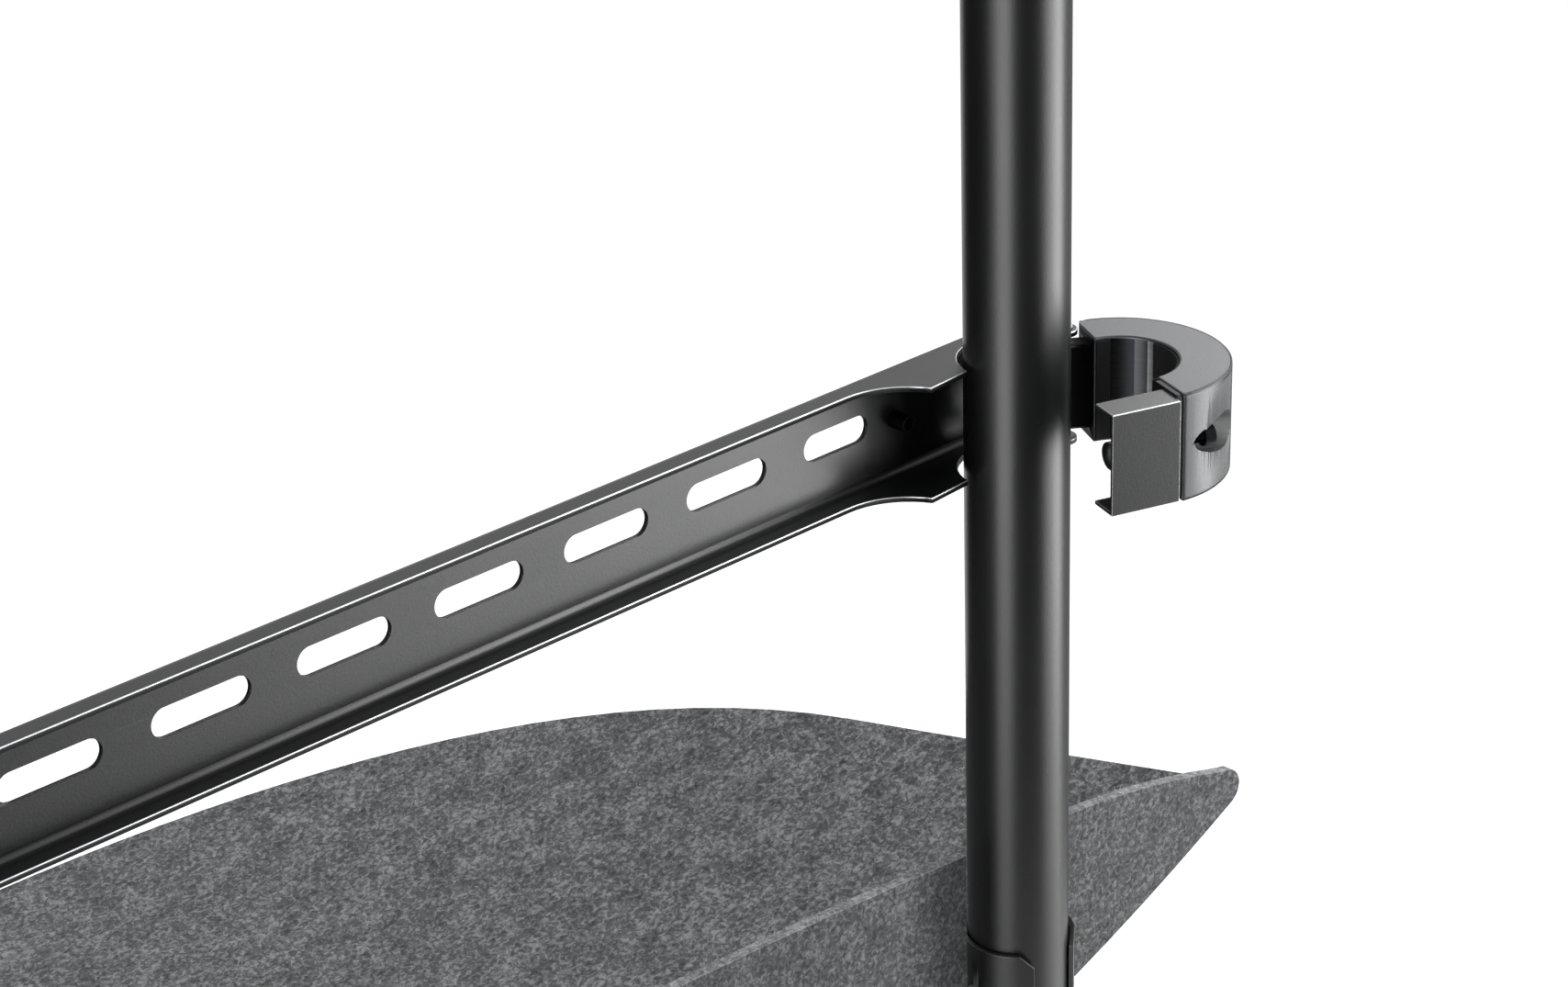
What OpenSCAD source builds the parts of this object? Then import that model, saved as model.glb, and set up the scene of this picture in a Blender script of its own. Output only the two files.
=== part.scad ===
// Free-standing screen stand: two round posts on a steel plate, two slotted cross
// channels with hinged, captive-screw collars, and a pressed felt tray in front.

/* [Posts] */
// Distance between the axes of the two posts
post_pitch = 510; // [470:5:580]
// Outside diameter of a post tube
post_d = 35; // [33:0.5:37]
// Wall of a post tube
post_wall = 2; // [1.5:0.1:3]
// Length of a post above the upper channel's middle
post_over = 100; // [60:5:200]
// Thickness of the cap on a post
cap_t = 4; // [2:0.5:6]
// Height of the solid plug in a post's foot
plug_h = 40; // [30:1:60]

/* [Base] */
// Width of the base plate
base_w = 720; // [640:5:800]
// Depth of the base plate from front to back
base_depth = 400; // [340:5:460]
// Distance from the posts' axes to the front edge of the base plate
base_front = 270; // [220:5:300]
// Thickness of the base plate
base_t = 8; // [8:0.5:12]
// Radius of the base plate's corners
base_corner_r = 30; // [10:1:60]
// Thickness of the foam sheet under the plate
underlay_t = 2; // [1:0.5:4]
// How far the foam sheet stays inside the plate's edge
underlay_inset = 6; // [2:1:15]
// Diameter of the bolt that holds a post
bolt_d = 12; // [8:0.5:14]
// Diameter of that bolt's countersunk head
bolt_head_d = 22; // [18:0.5:26]

/* [Cross channels] */
// Height of the lower channel's middle above the floor
lower_z = 800; // [790:5:840]
// Distance between the middles of the two channels
bar_spacing = 400; // [300:5:430]
// Outside height of a channel
bar_h = 40.3; // [38:0.1:44]
// Thickness of the channel's sheet
bar_sheet = 1.8; // [1.4:0.1:2]
// Depth of the channel from its web to its narrow edges
bar_depth = 10.1; // [8:0.1:12]
// Distance of the web's outer face in front of the post's axis
bar_front = 27.5; // [27:0.1:30]
// Inside radius of the channel's bends
bar_bend_r = 2.5; // [1:0.1:3]
// Length of a full slot
slot_len = 34; // [26:0.5:38]
// Height of the slots
slot_h = 9.5; // [8:0.1:11]
// Step from one full slot to the next
slot_pitch = 50; // [46:1:56]
// Height of the slots above the channel's middle
slot_rise = 2.35; // [0:0.05:3]
// Length of the short slot at each end
short_slot_len = 28.6; // [22:0.1:30]
// Distance of the short slot from the post's axis
short_slot_from = 42.9; // [41:0.1:46]

/* [Channel ends] */
// Distance from the post's axis at which the edges start to flare
flare_from = 60; // [56:0.5:66]
// Radius of the hollow curve of the flare
flare_r = 25.8; // [22:0.1:30]
// Distance of the flare's corner in front of the post's axis
flare_corner_y = 2.9; // [2.5:0.1:4.5]
// How much further in front the flare's inner tip lies
flare_tip_drop = 1.2; // [0:0.1:2]
// Clearance of the round notch that takes the post
notch_gap = 1.9; // [1:0.1:2.5]
// Radius of the ear round the hinge pin
ear_r = 4.8; // [4:0.1:5.2]
// Distance of the hinge pin outside the post's axis
hinge_x = 28.5; // [28:0.1:30]
// Distance of the hinge pin in front of the post's axis
hinge_y = 5.7; // [5:0.1:7]
// Diameter of the hinge pin
pin_d = 4; // [3:0.1:4.5]
// Thickness of the hinge pin's heads
pin_head_t = 0.9; // [0.5:0.1:1.5]

/* [Collars] */
// Radial thickness of a collar
collar_t = 17.1; // [16:0.1:18]
// Height of a collar
collar_h = 37.2; // [34:0.1:38]
// Bevel along a collar's outer edges
collar_edge = 0.6; // [0.3:0.1:1.5]
// Distance of the collar's locking end behind the post's axis
collar_cut_y = 2.3; // [2.1:0.1:3.5]
// Distance of the collar's hinged end behind the post's axis, at the bore
hinge_cut_y = 0.4; // [0:0.1:1]
// Slant of the hinged end
hinge_cut_tilt = 9.7; // [6:0.1:12]
// Height of the knuckle that turns on the hinge pin
knuckle_h = 30; // [24:0.5:32]
// Radius of the knuckle
knuckle_r = 4.2; // [3.6:0.1:4.6]
// Thickness of the rubber pads in the bore
pad_t = 0.75; // [0.5:0.05:1.2]
// Gap between the pads and the post
pad_gap = 0.35; // [0.3:0.05:0.6]
// How far the pads stop short of the collar's top and bottom
pad_inset = 1; // [0.5:0.1:2]
// Angle at which the photographed collar stands open
open_turn = 71; // [0:1:90]

/* [Locking brackets] */
// Thickness of the bracket's sheet
bracket_sheet = 1.3; // [1:0.1:1.4]
// Height of the bracket
bracket_h = 34.8; // [32:0.1:35.2]
// Reach of the bracket in front of the post's axis
bracket_reach = 24; // [23:0.1:24.5]
// Depth of the bracket's two flanges
bracket_depth = 11; // [10:0.1:12]
// Thickness of the black plate between collar and bracket
spacer_t = 1.8; // [1.5:0.1:2]
// Distance of the locking screw's axis from the post's axis
lock_x = 30.8; // [30.4:0.1:31]
// Height of the locking screw above the channel's middle
lock_rise = 0.8; // [0:0.1:2]
// Diameter of the locking screw's shank
screw_d = 4; // [3:0.1:4.2]
// Diameter of its head
screw_head_d = 7; // [6:0.1:7.4]
// Height of its head
screw_head_h = 4; // [3:0.1:5]
// Width across the flats of its hexagon socket
screw_hex = 3; // [2.5:0.1:3.5]
// Travel of the captive screw into the channel's standoff
screw_travel = 5.4; // [4:0.1:5.6]
// Diameter of the sunk hole for the screw's head
sink_d = 8.4; // [8:0.1:8.6]
// Outside diameter of the standoff on the channel's web
standoff_d = 6; // [5:0.1:6.2]
// Length of the standoff
standoff_len = 6.9; // [6:0.1:7]
// Outside diameter of the bracket's sleeve
sleeve_d = 9.2; // [9:0.1:9.4]
// Inside diameter of the sleeve's mouth
sleeve_mouth_d = 8; // [7.8:0.1:8.2]

/* [Felt tray] */
// Thickness of the pressed felt
felt_t = 4; // [3:0.5:6]
// Width of the tray
tray_w = 749; // [700:1:780]
// Height of the tray's lowest line above the floor
tray_low_z = 523.1; // [500:0.1:540]
// Height of the wall at its middle
tray_wall_h = 132.9; // [120:0.1:145]
// Radius of the bowed floor
tray_bow_r = 850; // [800:5:950]
// Radius of the wall's top edge along its middle
tray_top_r = 2480; // [2200:10:3000]
// Distance from the middle at which the top edge turns down
tray_shoulder = 285; // [270:1:300]
// Radius of the top edge beyond that shoulder
tray_shoulder_r = 454; // [400:2:600]
// Radius of the wall's tips
tray_tip_r = 8; // [5:0.5:10]
// Slope of the floor's straight sides
tray_side_turn = 76.5; // [74:0.5:80]
// Radius of the floor's front corners
tray_front_r = 308; // [280:1:315]
// Distance of the front corners' centres in front of the posts
tray_front_y = 91.8; // [80:0.1:100]
// Half width of the gap that the wall leaves for a post
tray_gap = 25.5; // [24:0.1:28]
// Half width of that gap beside the sleeve, and radius of the floor's hole
tray_sleeve_gap = 30; // [29:0.1:34]
// Wall of the sleeves that carry the tray
sleeve_wall = 1.85; // [1.5:0.05:2.5]
// Height of a tray sleeve
tray_sleeve_h = 62; // [50:1:70]
// Height of a tray sleeve's lower end above the tray's lowest line
tray_sleeve_foot = 20.8; // [18:0.1:24]
// Width of the slit at the back of a tray sleeve, as an angle
sleeve_slit = 60; // [40:1:80]
// Bevel of the sleeve's upper corners beside the slit
sleeve_corner = 5; // [2:0.5:8]
// Width of the tabs that carry the felt
tab_w = 22; // [16:1:26]
// Diameter of the rivets through felt and tab
rivet_d = 4; // [3:0.5:5]
// Diameter of the rivets' heads
rivet_head_d = 10; // [8:0.5:12]

/* [Hidden] */
$fn = 64;

// Overrun of cuts and clearance of a turning or sliding fit
over = 1;
fit = 0.05;

half_pitch = post_pitch / 2;
post_r = post_d / 2;
upper_z = lower_z + bar_spacing;
post_top = upper_z + post_over;

// Base: floor of the plate, bolt and plug
plate_top = underlay_t + base_t;
plate_y = -base_front + base_depth / 2;
bolt_head_h = (bolt_head_d - bolt_d) / 2;
bolt_len = plate_top + plug_h / 2;
cap_plug_h = cap_t * 4;
cap_edge = cap_t / 4;
plug_r = post_r - post_wall - fit;

// Channel: the end stands beyond the hinge pin by the ear
bar_half_h = bar_h / 2;
bar_outer = bar_bend_r + bar_sheet;
bar_edge_y = -bar_front + bar_depth;
bar_inner_y = -bar_front + bar_sheet;
bar_end = hinge_x + ear_r;
bar_length = post_pitch + 2 * bar_end;
notch_r = post_r + notch_gap;
flare_rise = bar_edge_y + flare_r + flare_corner_y;
flare_corner_x = flare_from - sqrt(flare_r * flare_r - flare_rise * flare_rise);
flare_tip_y = -flare_corner_y - flare_tip_drop;
slot_side_gap = slot_pitch - slot_len;
slot_room = half_pitch - short_slot_from - short_slot_len - slot_side_gap - slot_len / 2;
slots_each_side = floor(slot_room / slot_pitch);

// Collar: bore from the post, pads and gap
pad_r = post_r + pad_gap;
bore_r = pad_r + pad_t;
collar_r = bore_r + collar_t;
pad_h = collar_h - 2 * pad_inset;
pad_arcs = [[3.5, 115], [162, 177]];
knuckle_reach = collar_t * 0.6;
knuckle_neck = knuckle_r * 0.9;
knuckle_turn = 73;

// Locking parts along the screw's axis, measured along Y from the post's axis
spacer_front = collar_cut_y - spacer_t;
tab_front = spacer_front - bracket_sheet;
bracket_out = lock_x + sleeve_d / 2 + fit + bracket_sheet;
bracket_in = bracket_out - bracket_depth;
sleeve_end = bar_inner_y + standoff_len / 2 + fit * 4;
socket_y = bar_inner_y + standoff_len + screw_d * 0.4;
spigot_d = screw_d + bracket_sheet * 2;
spigot_end = collar_cut_y + spacer_t;
sink_y = spigot_end + screw_d / 2;
screw_tip = bar_inner_y + standoff_len + screw_d * 0.3;
screw_seat = sink_y + screw_travel + fit * 2;
spacer_in = bore_r + pad_t;
spacer_out = collar_r - pad_t;
spacer_h = collar_h - pad_t;
spacer_corner_r = spacer_t;

// Tray: centre of the bowed floor and of the arcs of the wall's top edge
bow_z = tray_low_z + tray_bow_r;
tray_half = tray_w / 2;
wall_top_z = tray_low_z + tray_wall_h;
shoulder_drop = tray_top_r - sqrt(tray_top_r * tray_top_r - tray_shoulder * tray_shoulder);
shoulder_turn = asin(tray_shoulder / tray_top_r);
tip_x = tray_half - tray_tip_r;
side_normal_x = sin(tray_side_turn);
side_normal_y = cos(tray_side_turn);
front_x = (side_normal_x * tray_half - tray_front_r - side_normal_y * tray_front_y) / side_normal_x;
tray_depth = tray_front_y + tray_front_r;
sleeve_r = pad_r + sleeve_wall;
rib_reach = tray_sleeve_gap - fit * 6;
tray_sleeve_low = tray_low_z + tray_sleeve_foot;
tray_sleeve_top = tray_sleeve_low + tray_sleeve_h;
rib_top = tray_sleeve_top - tray_sleeve_h / 4;
tab_x = tray_sleeve_gap + rivet_head_d;
tab_in = tab_x - post_r / 2;
tab_out = rivet_head_d / 2 + rivet_d / 2;
tab_y = -felt_t - tab_w / 2 - felt_t;
rivet_head_h = rivet_d / 4;

// Places: a piece of the left end of a channel or of the left post, or its mirror image
module at_post(side) {
    mirror([side > 0 ? 1 : 0, 0, 0])
        translate([-half_pitch, 0, 0])
            children();
}

module at_end(side, bar_z) {
    at_post(side)
        translate([0, 0, bar_z])
            children();
}

module swung(turn) {
    translate([-hinge_x, -hinge_y, 0])
        rotate([0, 0, turn])
            translate([hinge_x, hinge_y, 0])
                children();
}

module along_y(x, z, from_y, to_y, d) {
    translate([x, from_y, z])
        rotate([-90, 0, 0])
            cylinder(h = to_y - from_y, d = d);
}

module slab(h) {
    translate([0, 0, -h / 2])
        linear_extrude(height = h)
            children();
}

module rounded_sheet(w, depth, r) {
    square([w - 2 * r, depth], center = true);
    square([w, depth - 2 * r], center = true);
    for (x = [-1, 1], y = [-1, 1])
        translate([x * (w / 2 - r), y * (depth / 2 - r)])
            circle(r = r);
}

// Base
module base_underlay() {
    color("#2b2b2b")
        difference() {
            translate([0, plate_y, 0])
                linear_extrude(height = underlay_t)
                    rounded_sheet(base_w - 2 * underlay_inset, base_depth - 2 * underlay_inset,
                                  base_corner_r - underlay_inset);
            for (side = [-1, 1])
                translate([side * half_pitch, 0, -over])
                    cylinder(h = underlay_t + 2 * over, d = bolt_head_d + 2 * bolt_head_h);
        }
}

module base_plate() {
    color("#242527")
        difference() {
            translate([0, plate_y, underlay_t])
                linear_extrude(height = base_t)
                    rounded_sheet(base_w, base_depth, base_corner_r);
            for (side = [-1, 1])
                translate([side * half_pitch, 0, 0]) {
                    cylinder(h = plate_top + over, r = bolt_d / 2 + fit);
                    translate([0, 0, underlay_t - over])
                        cylinder(h = over, r = bolt_head_d / 2 + fit);
                    translate([0, 0, underlay_t])
                        cylinder(h = bolt_head_h, r1 = bolt_head_d / 2 + fit, r2 = bolt_d / 2 + fit);
                }
        }
}

module base_bolts() {
    color("#77797c")
        for (side = [-1, 1])
            translate([side * half_pitch, 0, underlay_t])
                difference() {
                    union() {
                        cylinder(h = bolt_len - underlay_t, d = bolt_d);
                        cylinder(h = bolt_head_h, d1 = bolt_head_d, d2 = bolt_d);
                    }
                    translate([0, 0, -over])
                        cylinder(h = bolt_head_h + over, d = bolt_d * 0.6, $fn = 6);
                }
}

module post_plug(side) {
    color("#5a5c5f")
        at_post(side)
            translate([0, 0, plate_top])
                difference() {
                    cylinder(h = plug_h, r = plug_r);
                    translate([0, 0, -over])
                        cylinder(h = plug_h * 0.75 + over, r = bolt_d / 2 + fit);
                }
}

module post(side) {
    color("#1e1f21")
        at_post(side)
            difference() {
                translate([0, 0, plate_top])
                    cylinder(h = post_top - plate_top, d = post_d);
                translate([0, 0, plate_top - over])
                    cylinder(h = post_top - plate_top + 2 * over, r = post_r - post_wall);
            }
}

module post_cap(side) {
    color("#17181a")
        at_post(side)
            translate([0, 0, post_top]) {
                cylinder(h = cap_t - cap_edge, d = post_d);
                translate([0, 0, cap_t - cap_edge])
                    cylinder(h = cap_edge, r1 = post_r, r2 = post_r - cap_edge);
                translate([0, 0, -cap_plug_h])
                    cylinder(h = cap_plug_h, r = plug_r);
            }
}

// Channel: bent section, flared ends with round notches, ears and slots
module channel_section() {
    corner_y = -bar_front + bar_outer;
    corner_z = bar_half_h - bar_outer;
    translate([-bar_front, -corner_z])
        square([bar_sheet, 2 * corner_z]);
    for (s = [-1, 1])
        mirror([0, s > 0 ? 0 : 1]) {
            translate([corner_y, bar_half_h - bar_sheet])
                square([bar_edge_y - corner_y, bar_sheet]);
            translate([corner_y, corner_z])
                intersection() {
                    difference() {
                        circle(r = bar_outer);
                        circle(r = bar_bend_r);
                    }
                    translate([-bar_outer, 0])
                        square(bar_outer);
                }
        }
}

module flare_outline() {
    lip = [flare_corner_x, -flare_corner_y];
    difference() {
        union() {
            difference() {
                polygon([
                    [-hinge_x, -bar_front + bar_outer], [flare_from, -bar_front + bar_outer],
                    [flare_from, -flare_corner_y], lip, [notch_r, flare_tip_y],
                    [0, flare_tip_y], [-hinge_x, flare_tip_y]
                ]);
                translate([flare_from, bar_edge_y + flare_r])
                    circle(r = flare_r);
            }
            translate([-bar_end, -bar_front + bar_outer])
                square([ear_r, bar_front - bar_outer - hinge_y]);
            translate([-hinge_x, -hinge_y])
                circle(r = ear_r);
        }
        circle(r = notch_r);
        translate([-hinge_x, -hinge_y])
            circle(r = pin_d / 2 + fit);
    }
}

module slot_shape(len) {
    square([len - slot_h, slot_h], center = true);
    for (s = [-1, 1])
        translate([s * (len - slot_h) / 2, 0])
            circle(d = slot_h);
}

module crossbar(bar_z) {
    color("#26272a")
        difference() {
            union() {
                translate([-bar_length / 2, 0, bar_z])
                    rotate([90, 0, 90])
                        linear_extrude(height = bar_length)
                            channel_section();
                for (side = [-1, 1], s = [-1, 1])
                    at_end(side, bar_z)
                        translate([0, 0, s * (bar_half_h - bar_sheet / 2)])
                            slab(bar_sheet)
                                flare_outline();
            }
            for (side = [-1, 1])
                at_end(side, bar_z) {
                    cylinder(h = 2 * bar_h, r = notch_r, center = true);
                    translate([-hinge_x, -hinge_y, 0])
                        cylinder(h = 2 * bar_h, r = pin_d / 2 + fit, center = true);
                }
            for (i = [-slots_each_side : slots_each_side])
                translate([i * slot_pitch, -bar_front - over, bar_z + slot_rise])
                    rotate([-90, 0, 0])
                        linear_extrude(height = bar_sheet + 2 * over)
                            slot_shape(slot_len);
            for (side = [-1, 1])
                at_end(side, bar_z)
                    translate([short_slot_from + short_slot_len / 2, -bar_front - over, slot_rise])
                        rotate([-90, 0, 0])
                            linear_extrude(height = bar_sheet + 2 * over)
                                slot_shape(short_slot_len);
        }
}

module standoffs(bar_z) {
    color("#3a3b3e")
        for (side = [-1, 1])
            at_end(side, bar_z)
                difference() {
                    along_y(lock_x, lock_rise, bar_inner_y, bar_inner_y + standoff_len, standoff_d);
                    along_y(lock_x, lock_rise, bar_inner_y + pin_head_t,
                            bar_inner_y + standoff_len + over, screw_d + 2 * fit);
                }
}

// Collar and what moves with it, drawn closed round the left post and then swung open
module hinge_pin(side, bar_z) {
    color("#8b8d90")
        at_end(side, bar_z)
            translate([-hinge_x, -hinge_y, 0]) {
                cylinder(h = bar_h, d = pin_d, center = true);
                for (s = [-1, 1])
                    translate([0, 0, s * (bar_half_h + pin_head_t / 2)])
                        cylinder(h = pin_head_t, d = pin_d * 1.6, center = true);
            }
}

module collar_profile() {
    half_h = collar_h / 2;
    edge_h = half_h - collar_edge;
    polygon([
        [bore_r, -half_h], [collar_r - collar_edge, -half_h], [collar_r, -edge_h],
        [collar_r, edge_h], [collar_r - collar_edge, half_h], [bore_r, half_h]
    ]);
}

module knuckle_outline() {
    translate([-hinge_x, -hinge_y]) {
        circle(r = knuckle_r);
        rotate(knuckle_turn)
            translate([0, -knuckle_neck])
                square([knuckle_reach, 2 * knuckle_neck]);
    }
}

module collar(side, bar_z, turn) {
    cut = collar_r + over;
    color("#3d3e41")
        at_end(side, bar_z)
            swung(turn)
                difference() {
                    union() {
                        difference() {
                            rotate_extrude()
                                collar_profile();
                            slab(2 * collar_h) {
                                translate([0, collar_cut_y - 2 * cut])
                                    square([cut, 2 * cut]);
                                translate([-bore_r, hinge_cut_y])
                                    rotate(-hinge_cut_tilt)
                                        translate([-cut, -2 * cut])
                                            square([2 * cut, 2 * cut]);
                            }
                        }
                        slab(knuckle_h)
                            knuckle_outline();
                    }
                    translate([-hinge_x, -hinge_y, 0])
                        cylinder(h = 2 * collar_h, r = pin_d / 2 + fit, center = true);
                    along_y(lock_x, lock_rise, 0, spigot_end, spigot_d + 2 * fit);
                    along_y(lock_x, lock_rise, 0, collar_r, screw_d + 4 * fit);
                    along_y(lock_x, lock_rise, sink_y, collar_r, sink_d);
                }
}

module pads(side, bar_z, turn) {
    color("#111214")
        at_end(side, bar_z)
            swung(turn)
                for (arc = pad_arcs)
                    translate([0, 0, -pad_h / 2])
                        rotate([0, 0, arc[0]])
                            rotate_extrude(angle = arc[1] - arc[0])
                                translate([pad_r, 0])
                                    square([pad_t - fit, pad_h]);
}

module spacer(side, bar_z, turn) {
    middle = (spacer_in + spacer_out) / 2;
    color("#0f1012")
        at_end(side, bar_z)
            swung(turn)
                difference() {
                    translate([middle, collar_cut_y, 0])
                        rotate([90, 0, 0])
                            linear_extrude(height = spacer_t)
                                rounded_sheet(spacer_out - spacer_in, spacer_h, spacer_corner_r);
                    along_y(lock_x, lock_rise, 0, collar_r, spigot_d + 2 * fit);
                }
}

module bracket(side, bar_z, turn) {
    color("#3a3b3d")
        at_end(side, bar_z)
            swung(turn)
                difference() {
                    translate([bracket_in, -bracket_reach, -bracket_h / 2])
                        cube([bracket_depth, bracket_reach + spacer_front, bracket_h]);
                    translate([bracket_in - over, -bracket_reach - over, -bracket_h / 2 + bracket_sheet])
                        cube([bracket_depth - bracket_sheet + over, bracket_reach + over + tab_front,
                              bracket_h - 2 * bracket_sheet]);
                    along_y(lock_x, lock_rise, 0 - bracket_reach / 2, collar_r, spigot_d + 2 * fit);
                }
}

module bracket_sleeve(side, bar_z, turn) {
    color("#1c1d1f")
        at_end(side, bar_z)
            swung(turn)
                difference() {
                    union() {
                        along_y(lock_x, lock_rise, sleeve_end, tab_front, sleeve_d);
                        along_y(lock_x, lock_rise, tab_front, spigot_end, spigot_d);
                    }
                    along_y(lock_x, lock_rise, -bar_front, collar_r, screw_d + 4 * fit);
                    along_y(lock_x, lock_rise, -bar_front, socket_y, sleeve_mouth_d);
                }
}

module lock_screw(side, bar_z, turn) {
    color("#6d6f73")
        at_end(side, bar_z)
            swung(turn)
                difference() {
                    union() {
                        along_y(lock_x, lock_rise, screw_tip, screw_seat, screw_d);
                        along_y(lock_x, lock_rise, screw_seat, screw_seat + screw_head_h, screw_head_d);
                    }
                    translate([lock_x, screw_seat + screw_head_h / 2, lock_rise])
                        rotate([-90, 0, 0])
                            cylinder(h = screw_head_h, d = screw_hex / cos(30), $fn = 6);
                }
}

// Tray: bowed floor cut to a rounded front, and an upright wall that the posts interrupt
function wall_top(x) =
    x <= tray_shoulder
    ? wall_top_z - tray_top_r + sqrt(tray_top_r * tray_top_r - x * x)
    : wall_top_z - shoulder_drop - tray_shoulder_r * cos(shoulder_turn)
      + sqrt(pow(tray_shoulder_r, 2) - pow(x - tray_shoulder + tray_shoulder_r * sin(shoulder_turn), 2));

function wall_half(steps) = concat(
    [for (i = [0 : steps]) let (x = tip_x * i / steps) [x, wall_top(x)]],
    [for (turn = [75 : -15 : 0]) [tip_x + tray_tip_r * cos(turn),
                                  wall_top(tip_x) - tray_tip_r + tray_tip_r * sin(turn)]]
);

function front_half(steps) =
    [for (i = [0 : steps]) let (turn = 90 - tray_side_turn + (tray_side_turn) * i / steps)
        [front_x + tray_front_r * cos(turn), -tray_front_y - tray_front_r * sin(turn)]];

function mirrored(points) = [for (i = [len(points) - 1 : -1 : 0]) [-points[i][0], points[i][1]]];

module wall_outline() {
    half = wall_half(24);
    polygon(concat(mirrored(half), half, [[tray_half, tray_low_z - felt_t], [-tray_half, tray_low_z - felt_t]]));
}

module floor_outline() {
    half = front_half(24);
    polygon(concat([[-tray_half, 0], [tray_half, 0]], half, mirrored(half)));
}

module bow(r, from_y, to_y) {
    along_y(0, bow_z, from_y, to_y, 2 * r);
}

module felt_tray() {
    color("#5b5c5e")
        difference() {
            union() {
                intersection() {
                    translate([0, 0, tray_low_z - felt_t])
                        linear_extrude(height = tray_wall_h + 2 * felt_t)
                            floor_outline();
                    difference() {
                        bow(tray_bow_r, -tray_depth - over, 0, $fn = 200);
                        bow(tray_bow_r - felt_t, -tray_depth - 2 * over, over, $fn = 200);
                    }
                }
                intersection() {
                    rotate([90, 0, 0])
                        linear_extrude(height = felt_t)
                            wall_outline();
                    bow(tray_bow_r, -felt_t - over, over, $fn = 200);
                }
            }
            for (side = [-1, 1])
                at_post(side) {
                    translate([-tray_gap, -post_d, tray_low_z - felt_t])
                        cube([2 * tray_gap, post_d + over, tray_wall_h + 2 * felt_t]);
                    translate([-tray_sleeve_gap, -felt_t - over, tray_low_z - felt_t])
                        cube([2 * tray_sleeve_gap, felt_t + 2 * over, rib_top - tray_low_z + felt_t]);
                    translate([0, 0, tray_low_z - felt_t])
                        cylinder(h = tray_wall_h / 2, r = tray_sleeve_gap);
                    for (s = [-1, 1])
                        tab_place(s)
                            translate([0, 0, -felt_t])
                                cylinder(h = 4 * felt_t, r = rivet_d / 2 + fit, center = true);
                }
        }
}

// A place on the floor's underside beside the left post, with its own upright square to the felt
module tab_place(s) {
    turn = asin((-half_pitch + s * tab_x) / tray_bow_r);
    translate([half_pitch, tab_y, bow_z])
        rotate([0, -turn, 0])
            translate([0, 0, -tray_bow_r])
                children();
}

module slit_outline() {
    half = sleeve_slit / 2;
    reach = 2 * sleeve_r;
    polygon([[0, 0], [reach * sin(half), reach * cos(half)], [-reach * sin(half), reach * cos(half)]]);
}

module slit_corner(s) {
    rotate([0, 0, s * sleeve_slit / 2])
        translate([0, 0, tray_sleeve_top - sleeve_corner])
            rotate([90, 0, 0])
                translate([0, 0, -2 * sleeve_r])
                    linear_extrude(height = 2 * sleeve_r)
                        polygon([[-s * sleeve_corner, sleeve_corner], [s * over, -over],
                                 [s * over, sleeve_corner + over], [-s * sleeve_corner, sleeve_corner + over]]);
}

module tray_sleeve(side) {
    color("#1b1c1e")
        at_post(side)
            difference() {
                union() {
                    translate([0, 0, tray_sleeve_low])
                        cylinder(h = tray_sleeve_h, r = sleeve_r);
                    translate([-rib_reach, -felt_t, tray_sleeve_low])
                        cube([2 * rib_reach, felt_t, rib_top - tray_sleeve_low - felt_t / 8]);
                    for (s = [-1, 1])
                        tab_place(s)
                            translate([s * (tab_out - tab_in) / 2, 0, -sleeve_wall / 2])
                                cube([tab_in + tab_out, tab_w, sleeve_wall], center = true);
                }
                translate([0, 0, tray_sleeve_low - over])
                    cylinder(h = tray_sleeve_h + 2 * over, r = pad_r);
                translate([0, 0, tray_sleeve_low - over])
                    linear_extrude(height = tray_sleeve_h + 2 * over)
                        slit_outline();
                for (s = [-1, 1]) {
                    slit_corner(s);
                    tab_place(s)
                        cylinder(h = 4 * felt_t, r = rivet_d / 2 + fit, center = true);
                }
            }
}

module tray_rivets() {
    color("#4a4b4e")
        for (side = [-1, 1], s = [-1, 1])
            at_post(side)
                tab_place(s) {
                    translate([0, 0, -sleeve_wall])
                        cylinder(h = felt_t + fit + sleeve_wall, d = rivet_d);
                    translate([0, 0, felt_t + fit])
                        cylinder(h = rivet_head_h, d1 = rivet_head_d, d2 = rivet_head_d - rivet_head_h);
                    translate([0, 0, -sleeve_wall - rivet_head_h])
                        cylinder(h = rivet_head_h, d1 = rivet_head_d - rivet_head_h, d2 = rivet_head_d);
                }
}

base_underlay();
base_plate();
base_bolts();
post_plug(-1);  // post_plug_left
post_plug(1);  // post_plug_right
post(-1);  // post_left
post(1);  // post_right
post_cap(-1);  // post_cap_left
post_cap(1);  // post_cap_right
crossbar(lower_z);  // lower_crossbar
crossbar(upper_z);  // upper_crossbar
standoffs(lower_z);  // lower_standoffs
standoffs(upper_z);  // upper_standoffs
hinge_pin(-1, lower_z);  // lower_left_hinge_pin
collar(-1, lower_z, open_turn);  // lower_left_collar
pads(-1, lower_z, open_turn);  // lower_left_pads
spacer(-1, lower_z, open_turn);  // lower_left_spacer
bracket(-1, lower_z, open_turn);  // lower_left_bracket
bracket_sleeve(-1, lower_z, open_turn);  // lower_left_sleeve
lock_screw(-1, lower_z, open_turn);  // lower_left_screw
hinge_pin(1, lower_z);  // lower_right_hinge_pin
collar(1, lower_z, 0);  // lower_right_collar
pads(1, lower_z, 0);  // lower_right_pads
spacer(1, lower_z, 0);  // lower_right_spacer
bracket(1, lower_z, 0);  // lower_right_bracket
bracket_sleeve(1, lower_z, 0);  // lower_right_sleeve
lock_screw(1, lower_z, 0);  // lower_right_screw
hinge_pin(-1, upper_z);  // upper_left_hinge_pin
collar(-1, upper_z, 0);  // upper_left_collar
pads(-1, upper_z, 0);  // upper_left_pads
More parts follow.
